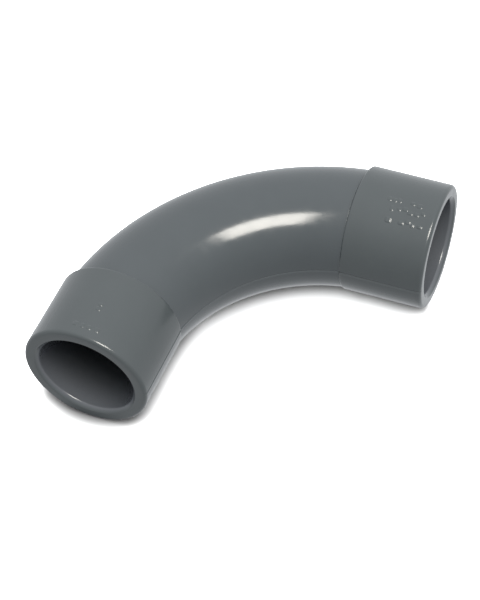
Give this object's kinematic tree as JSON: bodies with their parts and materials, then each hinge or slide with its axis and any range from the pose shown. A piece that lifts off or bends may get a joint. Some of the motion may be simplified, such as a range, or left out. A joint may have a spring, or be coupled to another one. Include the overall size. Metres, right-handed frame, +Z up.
{
  "type": "pvc conduit elbow",
  "caption": "Swept ninety degree PVC conduit elbow with a solvent-weld socket on each end and an open raceway between them.",
  "frame": {"origin": "under the middle of the elbow's box, on the surface that the two sockets lie on", "axes": "+Z up, square to the plane of the bend; -Y out of the front mouth; +X out of the side mouth"},
  "size_m": [0.0854, 0.0854, 0.033],
  "materials": {
    "bend_pvc": "glossy moulded grey PVC-U",
    "socket_pvc": "glossy moulded grey PVC-U",
    "solvent_cement": "satin cured cement"
  },
  "bodies": {
    "root": {"bend_body": "bend_pvc", "front_socket": "socket_pvc", "side_socket": "socket_pvc", "front_cement": "solvent_cement", "side_cement": "solvent_cement"}
  },
  "joints": []
}
